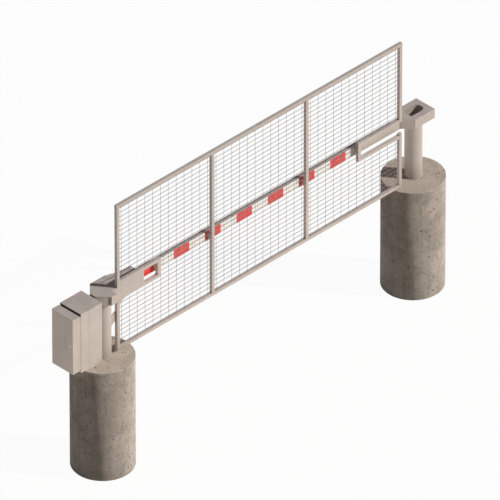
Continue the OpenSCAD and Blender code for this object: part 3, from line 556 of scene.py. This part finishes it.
def add_rod(mesh, start, end, radius, edge, sides=32, tip=None):
    """A cylinder or cone with soft rims, from one point to another."""
    start, end = Vector(start), Vector(end)
    along = end - start
    turn = along.to_track_quat("Z", "Y").to_matrix().to_4x4()
    place = Matrix.Translation((start + end) / 2) @ turn
    made = bmesh.ops.create_cone(mesh, cap_ends=True, segments=sides, radius1=radius,
                                 radius2=radius if tip is None else tip, depth=along.length,
                                 matrix=place)
    rims = [e for e in edges_of(made["verts"])
            if abs((e.verts[0].co - e.verts[1].co).dot(along)) < FLAT]
    if edge:
        soften(mesh, rims, edge)


def add_tube(mesh, centre, axis, outer, inner, length, edge, sides=48):
    """A ring spun round an axis through its centre."""
    axis = Vector(axis).normalized()
    side = axis.orthogonal().normalized()
    half = length / 2
    corners = [(outer, -half), (outer, half), (inner, half), (inner, -half)]
    verts = [mesh.verts.new(Vector(centre) + side * r + axis * z) for r, z in corners]
    face = mesh.faces.new(verts)
    if edge:
        corner_verts = list(face.verts)
        made = bmesh.ops.bevel(mesh, geom=corner_verts, offset=edge, offset_type="OFFSET",
                               affect="VERTICES", segments=2, profile=0.5, material=-1,
                               clamp_overlap=True)
        face = next(f for f in mesh.faces if f.is_valid and set(made["verts"]) & set(f.verts))
    ring = list(face.verts) + list(face.edges)
    bmesh.ops.delete(mesh, geom=[face], context="FACES_ONLY")
    bmesh.ops.spin(mesh, geom=ring, cent=centre, axis=axis, dvec=(0, 0, 0), angle=2 * math.pi,
                   steps=sides, use_merge=True, use_duplicate=False)


def add_bead(mesh, points, radius, ripple):
    """A closed weld bead laid along points, with the ripples that a welder's hand leaves."""
    points = [Vector(p) for p in points]
    spots = []
    for i, start in enumerate(points):
        end = points[(i + 1) % len(points)]
        steps = max(1, round((end - start).length / ripple))
        spots += [start.lerp(end, k / steps) for k in range(steps)]
    made = bmesh.ops.create_circle(mesh, cap_ends=False, segments=BEAD_SIDES, radius=1.0)
    ring = made["verts"]
    edges = edges_of(ring)
    base = [v.co.copy() for v in ring]
    first = None
    for i, spot in enumerate(spots):
        turn = (spots[(i + 1) % len(spots)] - spots[i - 1]).to_track_quat("Z", "Y").to_matrix()
        waves = [height * math.sin(i * pace) for height, pace in SWELL_WAVES]
        swell = radius * (SWELL_MEAN + waves[0] + waves[1])
        if i:
            made = bmesh.ops.extrude_edge_only(mesh, edges=edges)
            ring = [g for g in made["geom"] if isinstance(g, bmesh.types.BMVert)]
            edges = [g for g in made["geom"] if isinstance(g, bmesh.types.BMEdge)]
            edges = [e for e in edges if all(v in ring for v in e.verts)]
            ring.sort(key=lambda v: min(range(BEAD_SIDES), key=lambda k: (v.co - old[k]).length))
        for vert, flat in zip(ring, base):
            vert.co = spot + turn @ (flat * swell)
        old = [v.co.copy() for v in ring]
        if first is None:
            first = edges
    bmesh.ops.bridge_loops(mesh, edges=first + edges)


def ring_points(centre, radius, count):
    """Points of a level circle."""
    turns = [2 * math.pi * k / count for k in range(count)]
    return [Vector(centre) + radius * Vector((math.cos(turn), math.sin(turn), 0)) for turn in turns]


def rect_points(low, high):
    """Corners of a rectangle that is flat in one axis."""
    flat = next(i for i in range(3) if abs(high[i] - low[i]) < FLAT)
    a, b = [i for i in range(3) if i != flat]
    corners = []
    for u, v in ((0, 0), (1, 0), (1, 1), (0, 1)):
        point = [0.0, 0.0, 0.0]
        point[flat] = low[flat]
        point[a] = (low, high)[u][a]
        point[b] = (low, high)[v][b]
        corners.append(point)
    return corners


def islands(node):
    """Lowest and highest corner of each loose part of a CAD node."""
    mesh = bmesh.new()
    mesh.from_mesh(nodes[node].data)
    bmesh.ops.remove_doubles(mesh, verts=mesh.verts, dist=SPLIT_JOIN)
    place = nodes[node].matrix_world
    left = dict.fromkeys(mesh.verts)
    boxes = []
    while left:
        queue = [left.popitem()[0]]
        spots = []
        while queue:
            vert = queue.pop()
            spots.append(place @ vert.co)
            for edge in vert.link_edges:
                other = edge.other_vert(vert)
                if other in left:
                    del left[other]
                    queue.append(other)
        boxes.append((Vector([min(p[i] for p in spots) for i in range(3)]),
                      Vector([max(p[i] for p in spots) for i in range(3)])))
    mesh.free()
    return boxes


# Welds
BEAD_STEP = 0.002
FOOT_BEAD = 0.007
HEAD_WELD = 0.005
HEAD_WELD_STEP = 0.001
RING_POINTS = 96
RING_RIPPLE = 0.012
TUBE_WELD = 0.0022
TUBE_RIPPLE = 0.006
BEAM_WELD = 0.005
BEAM_RIPPLE = 0.009
NUGGET_RADII = (0.0042, 0.0022, 0.0042, 1)


def mesh_welds(node):
    """A small nugget where each level wire crosses an upright wire."""
    wires = islands(node)
    level = [w for w in wires if w[1].x - w[0].x > w[1].z - w[0].z]
    upright = [w for w in wires if w[1].x - w[0].x <= w[1].z - w[0].z]
    mesh = bmesh.new()
    for low, high in level:
        z = (low.z + high.z) / 2
        for start, stop in upright:
            x = (start.x + stop.x) / 2
            if low.x < x < high.x and start.z < z < stop.z:
                spot = Vector((x, (high.y + start.y) / 2, z))
                shape = Matrix.Translation(spot) @ Matrix.Diagonal(NUGGET_RADII)
                bmesh.ops.create_icosphere(mesh, subdivisions=1, radius=1.0, matrix=shape)
    new_piece(node + "_welds", "arm", "mesh_steel", mesh)


for bay in ("mesh_left", "mesh_middle", "mesh_right"):
    mesh_welds(bay)


def ring_bead(name, centre, radius, size):
    """A bead round a post."""
    mesh = bmesh.new()
    add_bead(mesh, ring_points(centre, radius, RING_POINTS), size, RING_RIPPLE)
    new_piece(name, "frame", "paint", mesh)


post_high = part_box("left_post")[1]
catch_low, catch_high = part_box("right_post")
catch_x = (catch_low[0] + catch_high[0]) / 2
post_r = post_high[0]
for name, x in (("left_post_foot_bead", 0), ("right_post_foot_bead", catch_x)):
    ring_bead(name, (x, 0, foot_level + BEAD_STEP), post_r + BEAD_STEP, FOOT_BEAD)
for name, x, level in (("left_post_head_weld", 0, post_high[2]),
                       ("catch_head_weld", catch_x, catch_high[2])):
    ring_bead(name, (x, 0, level - BEAD_STEP), post_r + HEAD_WELD_STEP, HEAD_WELD)

# Weld beads where the leaf's tubes and the beam meet
tube_welds = bmesh.new()
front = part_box("top_rail")[0][1]
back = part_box("top_rail")[1][1]
rails = [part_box("bottom_rail")[1][2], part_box("top_rail")[0][2]]
for stile in ("left_stile", "middle_stiles", "right_stile"):
    spans = sorted({(round(low.x, 5), round(high.x, 5)) for low, high in islands(stile)})
    for x0, x1 in spans:
        for level in rails:
            add_bead(tube_welds, rect_points((x0, front, level), (x1, back, level)),
                     TUBE_WELD, TUBE_RIPPLE)
for bar in ("right_bracket_upper_bar", "right_bracket_lower_bar"):
    low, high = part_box(bar)
    for x in (low[0], high[0]):
        add_bead(tube_welds, rect_points((x, low[1], low[2]), (x, high[1], high[2])),
                 TUBE_WELD, TUBE_RIPPLE)
new_piece("leaf_tube_welds", "arm", "paint", tube_welds)

beam_low, beam_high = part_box("crash_beam")
beam_weld = bmesh.new()
add_bead(beam_weld, rect_points(beam_low, (beam_low[0], beam_high[1], beam_high[2])),
         BEAM_WELD, BEAM_RIPPLE)
new_piece("beam_root_weld", "arm", "paint", beam_weld)

# Dark rubber strip on the cabinet's front, between the door's top edge and the roof: a painted shadow
# under the roof's edge
SHADOW_STRIP_THICK = 0.003
SHADOW_STRIP_INSET = 0.0015
SHADOW_STRIP_DROP = 0.006
SHADOW_STRIP_EDGE = 0.0008
side_low, side_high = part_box("cabinet_sides")
roof_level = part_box("cabinet_ends")[1][2]
door_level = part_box("door_shell")[1][2]
shadow_strip = bmesh.new()
add_bar(shadow_strip, (side_low[0] - SHADOW_STRIP_THICK, side_low[1] + SHADOW_STRIP_INSET, door_level - SHADOW_STRIP_DROP),
        (side_low[0] - PAD, side_high[1] - SHADOW_STRIP_INSET, roof_level - SHADOW_STRIP_INSET), SHADOW_STRIP_EDGE)
new_piece("cabinet_shadow_strip", "frame", "rubber", shadow_strip)

# Cover plate let into the slot of the head's front corner face, which stands at 45 degrees. Its darker
# paint is painted shade of the recess.
SLOT_SHARE = (0.49, 0.775)
ROOT_WALL = 0.0127
PLATE_DEPTH = 0.0065
PLATE_THICK = 0.003
PLATE_EDGE = 0.0005
root_low, root_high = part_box("arm_root")
root_spots = [nodes["arm_root"].matrix_world @ v.co for v in nodes["arm_root"].data.vertices]
nose_half = max(spot.y for spot in root_spots if spot.x < root_low[0] + PAD)
face_reach = (nose_half - root_low[0]) / math.sqrt(2)
slot_plate = bmesh.new()
plate_front = PLATE_DEPTH - face_reach
add_bar(slot_plate, (SLOT_SHARE[0] * face_reach + PAD, plate_front, root_low[2] + PAD),
        (SLOT_SHARE[1] * face_reach - PAD, plate_front + PLATE_THICK, root_high[2] - ROOT_WALL - PAD),
        PLATE_EDGE)
bmesh.ops.rotate(slot_plate, cent=(0, 0, 0), matrix=Matrix.Rotation(math.radians(-45), 3, "Z"),
                 verts=slot_plate.verts)
new_piece("arm_root_slot_plate", "arm", "paint", slot_plate, "painted_shade")


# Screws and bolts: shares of the head's radius, and of its height
HEX_SIDES = 6
SCREW_SIDES = 20
SOCKET_BORE = 0.42
SOCKET_FILL = 0.44
SOCKET_FLOOR = 0.4
SCREW_EDGE = 0.2
WASHER_SIDES = 28
WASHER_SHARE = 1.35
WASHER_HEIGHT = 0.2
WASHER_EDGE = 0.05
HEX_EDGE = 0.09


def add_screw(mesh, spot, axis, radius, head):
    """A button head with its driver socket."""
    spot, axis = Vector(spot), Vector(axis).normalized()
    add_tube(mesh, spot + axis * head / 2, axis, radius, radius * SOCKET_BORE, head,
             radius * SCREW_EDGE, SCREW_SIDES)
    add_rod(mesh, spot, spot + axis * head * SOCKET_FLOOR, radius * SOCKET_FILL, 0, HEX_SIDES)


def add_hex(mesh, spot, axis, radius, head):
    """A hexagon head on a washer."""
    spot, axis = Vector(spot), Vector(axis).normalized()
    washer_top = spot + axis * head * WASHER_HEIGHT
    add_rod(mesh, spot, washer_top, radius * WASHER_SHARE, radius * WASHER_EDGE, WASHER_SIDES)
    add_rod(mesh, washer_top, spot + axis * head, radius, radius * HEX_EDGE, HEX_SIDES)


# Gearbox, motor, controls, door and latch: where their small fittings sit, and their sizes
COVER_FACE = 0.150
COVER_BOLTS = 6
COVER_CIRCLE = 0.050
BACK_BOLT_X = 0.062
BACK_BOLT_Z = 0.070
BOLT_RADIUS = 0.0055
BOLT_HEAD = 0.006
DRAIN_Y = 0.04
DRAIN_Z = 0.03
DRAIN_RADIUS = 0.008
DRAIN_HEAD = 0.009
TERMINAL_X = (-0.115, -0.058)
TERMINAL_HALF_Y = 0.04
TERMINAL_Z = (0.06, 0.14)
TERMINAL_EDGE = 0.004
TERMINAL_GLAND_X = -0.09
TERMINAL_GLAND_Z = (0.045, 0.062)
TERMINAL_GLAND_RADIUS = 0.011
TERMINAL_GLAND_EDGE = 0.0015
MOTOR_BOLTS = 4
MOTOR_CIRCLE = 0.068
MOTOR_FLANGE = 0.012
MOTOR_BOLT_RADIUS = 0.005
COWL_RINGS = ((0.045, 0.040), (0.030, 0.026), (0.015, 0.011))
COWL_RING_THICK = 0.003
COWL_RING_EDGE = 0.0008
UNIT_INSET = 0.018
UNIT_SCREW = (0.006, 0.003)
GLANDS = 3
GLAND_PITCH = 0.06
GLAND_Y = 0.03
GLAND_NUT_END = 0.010
GLAND_NUT_RADIUS = 0.013
GLAND_NUT_EDGE = 0.001
GLAND_TIP = 0.022
GLAND_TIP_RADIUS = 0.011
GLAND_TIP_EDGE = 0.002
GLAND_TIP_SIDES = 24
GLAND_TIP_END = 0.008
HINGE_SCREW_X = 0.018
HINGE_LEAF = 0.0025
HINGE_SCREW = (0.0045, 0.0022)
KEY_RING_X = 0.0012
KEY_RING_OUTER = 0.0215
KEY_RING_INNER = 0.0182
KEY_RING_THICK = 0.0016
KEY_RING_EDGE = 0.0004
door_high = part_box("door_shell")[1]
latch_low, latch_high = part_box("latch_barrel")
latch_y = (latch_low[1] + latch_high[1]) / 2
latch_z = (latch_low[2] + latch_high[2]) / 2

box_low, box_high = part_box("gearbox")
mid_x, mid_z = (box_low[0] + box_high[0]) / 2, (box_low[2] + box_high[2]) / 2
face_y = box_low[1] + COVER_FACE
drive_bits = bmesh.new()
for k in range(COVER_BOLTS):
    turn = 2 * math.pi * (k + 0.5) / COVER_BOLTS
    spot = (mid_x + COVER_CIRCLE * math.cos(turn), face_y - PAD, mid_z + COVER_CIRCLE * math.sin(turn))
    add_hex(drive_bits, spot, (0, 1, 0), BOLT_RADIUS, BOLT_HEAD)
for x in (-1, 1):
    for z in (-1, 1):
        add_hex(drive_bits, (mid_x + x * BACK_BOLT_X, box_low[1] + PAD, mid_z + z * BACK_BOLT_Z),
                (0, -1, 0), BOLT_RADIUS, BOLT_HEAD)
add_hex(drive_bits, (box_low[0] + PAD, box_low[1] + DRAIN_Y, box_low[2] + DRAIN_Z), (-1, 0, 0),
        DRAIN_RADIUS, DRAIN_HEAD)
new_piece("gearbox_bolts", "frame", "steel", drive_bits)

motor_low, motor_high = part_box("drive_motor")
motor_x = (motor_low[0] + motor_high[0]) / 2
motor_y = (motor_low[1] + motor_high[1]) / 2
terminal = bmesh.new()
add_bar(terminal, (motor_x + TERMINAL_X[0], motor_y - TERMINAL_HALF_Y, motor_low[2] + TERMINAL_Z[0]),
        (motor_x + TERMINAL_X[1], motor_y + TERMINAL_HALF_Y, motor_low[2] + TERMINAL_Z[1]),
        TERMINAL_EDGE)
gland_x = motor_x + TERMINAL_GLAND_X
add_rod(terminal, (gland_x, motor_y, motor_low[2] + TERMINAL_GLAND_Z[0]),
        (gland_x, motor_y, motor_low[2] + TERMINAL_GLAND_Z[1]), TERMINAL_GLAND_RADIUS,
        TERMINAL_GLAND_EDGE)
new_piece("motor_terminal_box", "frame", "machine", terminal)
motor_bits = bmesh.new()
for k in range(MOTOR_BOLTS):
    turn = 2 * math.pi * (k + 0.5) / MOTOR_BOLTS
    spot = (motor_x + MOTOR_CIRCLE * math.cos(turn), motor_y + MOTOR_CIRCLE * math.sin(turn),
            motor_low[2] + MOTOR_FLANGE - PAD)
    add_hex(motor_bits, spot, (0, 0, 1), MOTOR_BOLT_RADIUS, BOLT_HEAD)
for outer, inner in COWL_RINGS:
    add_tube(motor_bits, (motor_x, motor_y, motor_high[2] + PAD), (0, 0, 1), outer, inner,
             COWL_RING_THICK, COWL_RING_EDGE)
new_piece("motor_bolts", "frame", "steel", motor_bits)

unit_low, unit_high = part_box("control_unit")
unit_bits = bmesh.new()
for x in (unit_low[0] + UNIT_INSET, unit_high[0] - UNIT_INSET):
    for z in (unit_low[2] + UNIT_INSET, unit_high[2] - UNIT_INSET):
        add_screw(unit_bits, (x, unit_high[1] - PAD, z), (0, 1, 0), *UNIT_SCREW)
new_piece("control_unit_screws", "frame", "steel", unit_bits)
glands = bmesh.new()
y = unit_low[1] + GLAND_Y
nut_end = unit_low[2] - GLAND_NUT_END
for k in range(GLANDS):
    x = unit_low[0] + GLAND_PITCH * (k + 1)
    add_rod(glands, (x, y, unit_low[2] + PAD), (x, y, nut_end), GLAND_NUT_RADIUS,
            GLAND_NUT_EDGE, HEX_SIDES)
    add_rod(glands, (x, y, nut_end), (x, y, unit_low[2] - GLAND_TIP), GLAND_TIP_RADIUS,
            GLAND_TIP_EDGE, GLAND_TIP_SIDES, GLAND_TIP_END)
new_piece("control_unit_glands", "frame", "rubber", glands)

hinge_bits = {"hinge_fixed_leaves": ("frame", bmesh.new()), "hinge_door_leaves": ("door", bmesh.new())}
for node, (body, mesh) in hinge_bits.items():
    inner = door_high[0] if body == "door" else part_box("cabinet_sides")[0][0]
    away = -1 if body == "door" else 1
    for low, high in islands(node):
        add_screw(mesh, (inner + away * HINGE_SCREW_X, door_high[1] + HINGE_LEAF - PAD,
                         (low.z + high.z) / 2), (0, 1, 0), *HINGE_SCREW)
    new_piece(node + "_screws", body, "steel", mesh)

key_cover = bmesh.new()
add_tube(key_cover, (latch_low[0] + KEY_RING_X, latch_y, latch_z), (1, 0, 0), KEY_RING_OUTER,
         KEY_RING_INNER, KEY_RING_THICK, KEY_RING_EDGE)
new_piece("latch_key_ring", "door", "steel", key_cover)

# Keeper plate on the pivot shaft's end, and the screws of the bolt guide
KEEPER_THICK = 0.004
KEEPER_RADIUS = 0.0165
KEEPER_EDGE = 0.001
KEEPER_SCREW = (0.007, 0.007)
GUIDE_INSET_Z = 0.012
GUIDE_INSET_Y = 0.010
GUIDE_SINK = 0.001
GUIDE_SCREW = (0.004, 0.0018)
pivot = [j for j in frame["record"]["behaviour"]["joints"] if j["name"] == "arm_lift"][0]["pos_m"]
shaft_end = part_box("pivot_shaft")[1][1]
keeper_face = shaft_end + KEEPER_THICK
cap = bmesh.new()
add_rod(cap, (pivot[0], shaft_end - PAD, pivot[2]), (pivot[0], keeper_face, pivot[2]),
        KEEPER_RADIUS, KEEPER_EDGE)
add_hex(cap, (pivot[0], keeper_face - PAD, pivot[2]), (0, 1, 0), *KEEPER_SCREW)
new_piece("pivot_shaft_keeper", "arm", "steel", cap)

guide_low, guide_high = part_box("lock_guide")
guide_bits = bmesh.new()
for z in (guide_low[2] + GUIDE_INSET_Z, guide_high[2] - GUIDE_INSET_Z):
    for y in (guide_low[1] + GUIDE_INSET_Y, guide_high[1] - GUIDE_INSET_Y):
        add_screw(guide_bits, (guide_high[0] - GUIDE_SINK, y, z), (1, 0, 0), *GUIDE_SCREW)
new_piece("lock_guide_screws", "arm", "steel", guide_bits)


def round_edges(names, width):
    """Rolled or ground edges on a CAD node, shown by modifiers."""
    for name in names:
        weld = nodes[name].modifiers.new("weld", "WELD")
        weld.merge_threshold = SPLIT_JOIN
        bevel = nodes[name].modifiers.new("soft_edges", "BEVEL")
        bevel.width = width
        bevel.segments = 2
        bevel.limit_method = "ANGLE"
        bevel.angle_limit = math.radians(40)


HEAD_EDGE = 0.004
BEAM_EDGE = 0.006
TUBE_EDGE = 0.0025
FOOTING_EDGE = 0.012
SHEET_EDGE = 0.0012
round_edges(["catch_head", "pivot_saddle"], HEAD_EDGE)
round_edges(["crash_beam"], BEAM_EDGE)
round_edges(["right_bracket_upright", "right_bracket_upper_bar", "right_bracket_lower_bar", "top_rail",
             "bottom_rail", "left_stile", "middle_stiles", "right_stile", "left_bracket"], TUBE_EDGE)
round_edges(["left_footing", "right_footing"], FOOTING_EDGE)
round_edges(["door_shell", "cabinet_brackets", "gearbox", "drive_lug", "bearing_pedestal", "link_rod",
             "drive_crank", "stop_bracket", "stop_bumper", "control_unit"], SHEET_EDGE)
